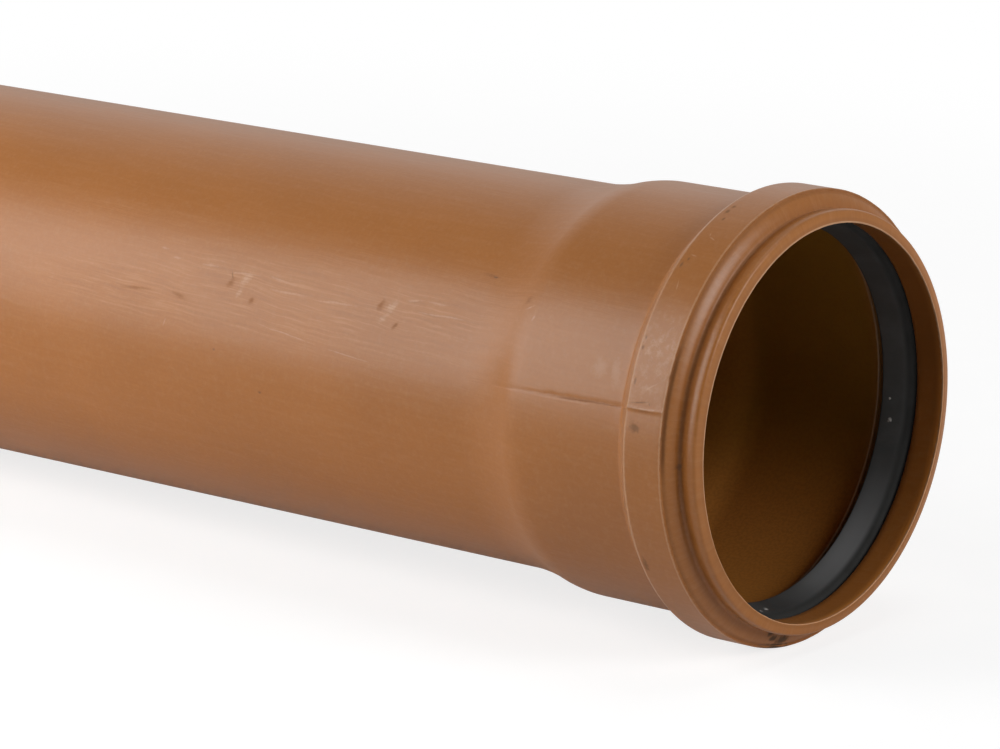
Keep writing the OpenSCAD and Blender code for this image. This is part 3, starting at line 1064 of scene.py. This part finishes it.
rest_front = on_the_pipe(BAND_REAR, band_r, 180)
rest_rear = on_the_pipe(overall_length - CHAMFER_LENGTH, barrel_r, 180)
floor_lean = math.atan2(rest_rear.z - rest_front.z, rest_front.x - rest_rear.x)
floor_mesh = bmesh.new()
bmesh.ops.create_grid(floor_mesh, x_segments=1, y_segments=1, size=FLOOR_SIZE / 2)
bmesh.ops.rotate(floor_mesh, verts=floor_mesh.verts[:], cent=(0, 0, 0),
                 matrix=Matrix.Rotation(floor_lean, 3, "Y"))
bmesh.ops.translate(floor_mesh, verts=floor_mesh.verts[:], vec=(rest_front + rest_rear) / 2)
floor = finished_piece("floor", floor_mesh)
floor.data.materials.append(make_floor_finish())
print("floor leans", round(math.degrees(floor_lean), 2), "degrees")

# %% [markdown]
# ## Light
#
# A large soft lamp close by on the left gives the long highlight, and a smaller one beside it lifts the
# barrel further back. One beyond the mouth lights the top and the lip. A wide one behind the pipe lights
# its far edge, and one overhead fills the top. A bright sky would be simpler, but it would light the
# inside too, which has to stay dark. So the world is white only where it is seen or reflected.

# %% Lamps and world
AIM = on_the_pipe(120, 0)


def soft_lamp(name, azimuth, elevation, distance, size, power):
    """A soft lamp that faces the socket; azimuth is from +X to +Y, and size is (width, height)."""
    turn, rise = math.radians(azimuth), math.radians(elevation)
    away = Vector((math.cos(rise) * math.cos(turn), math.cos(rise) * math.sin(turn), math.sin(rise)))
    lamp_data = bpy.data.lights.new(name, "AREA")
    lamp_data.shape = "RECTANGLE"
    lamp_data.size, lamp_data.size_y = size
    lamp_data.energy = power
    lamp = bpy.data.objects.new(name, lamp_data)
    lamp.matrix_world = away.to_track_quat("Z", "Y").to_matrix().to_4x4()
    lamp.location = AIM + away * distance
    lamp.visible_camera = False
    bpy.context.scene.collection.objects.link(lamp)
    return lamp


soft_lamp("left_lamp", azimuth=-127, elevation=23, distance=0.85, size=(0.45, 0.75), power=5.2)
soft_lamp("barrel_lamp", azimuth=-155, elevation=21, distance=0.85, size=(0.38, 0.36), power=1.1)
soft_lamp("mouth_lamp", azimuth=9, elevation=22, distance=1.6, size=(0.75, 0.75), power=13.4)
soft_lamp("back_lamp", azimuth=127, elevation=30, distance=1.6, size=(1.9, 1.2), power=3.1)
soft_lamp("top_lamp", azimuth=60, elevation=78, distance=1.6, size=(0.7, 0.7), power=4.4)

world = bpy.data.worlds.new("studio")
world.use_nodes = True
sky = world.node_tree.nodes["Background"]
sky.inputs["Color"].default_value = (1, 1, 1, 1)
world.node_tree.links.new(seen_directly(world.node_tree, MIRRORED_SHARE), sky.inputs["Strength"])
bpy.context.scene.world = world
print("lamps:", [item.name for item in bpy.data.lights])

# %% [markdown]
# ## Camera
#
# The camera is a long lens, a step to the right of the pipe and a little above it. Its place was fitted
# so that the rings of the mouth and the sides of the barrel fall where the photograph has them. The
# mouth's middle is given from the camera, along its own right, down and ahead.

# %% Camera
FOCAL_PX = 5243.13
FRAME_WIDTH_PX = 1000
SENSOR_MM = 36.0
CAMERA_AZIMUTH = math.radians(39.45)
CAMERA_ELEVATION = math.radians(13.6)
MOUTH_RIGHT, MOUTH_DOWN, MOUTH_AHEAD = 88.67, 13.37, 1422.3

right = Vector((math.cos(CAMERA_AZIMUTH), math.sin(CAMERA_AZIMUTH), 0))
ahead = Vector((-math.sin(CAMERA_AZIMUTH) * math.cos(CAMERA_ELEVATION),
                math.cos(CAMERA_AZIMUTH) * math.cos(CAMERA_ELEVATION), -math.sin(CAMERA_ELEVATION)))
up = right.cross(ahead)
mouth_centre = on_the_pipe(0, 0)
place = mouth_centre - MM * (MOUTH_RIGHT * right - MOUTH_DOWN * up + MOUTH_AHEAD * ahead)
camera_data = bpy.data.cameras.new("camera")
camera_data.sensor_width = SENSOR_MM
camera_data.lens = FOCAL_PX * SENSOR_MM / FRAME_WIDTH_PX
camera = bpy.data.objects.new("camera", camera_data)
camera.matrix_world = Matrix((right, up, -ahead)).transposed().to_4x4()
camera.location = place
bpy.context.scene.collection.objects.link(camera)
bpy.context.scene.camera = camera
bpy.context.scene.view_settings.view_transform = "Standard"
print("camera lens", round(camera_data.lens, 2), "at", [round(v, 3) for v in place])
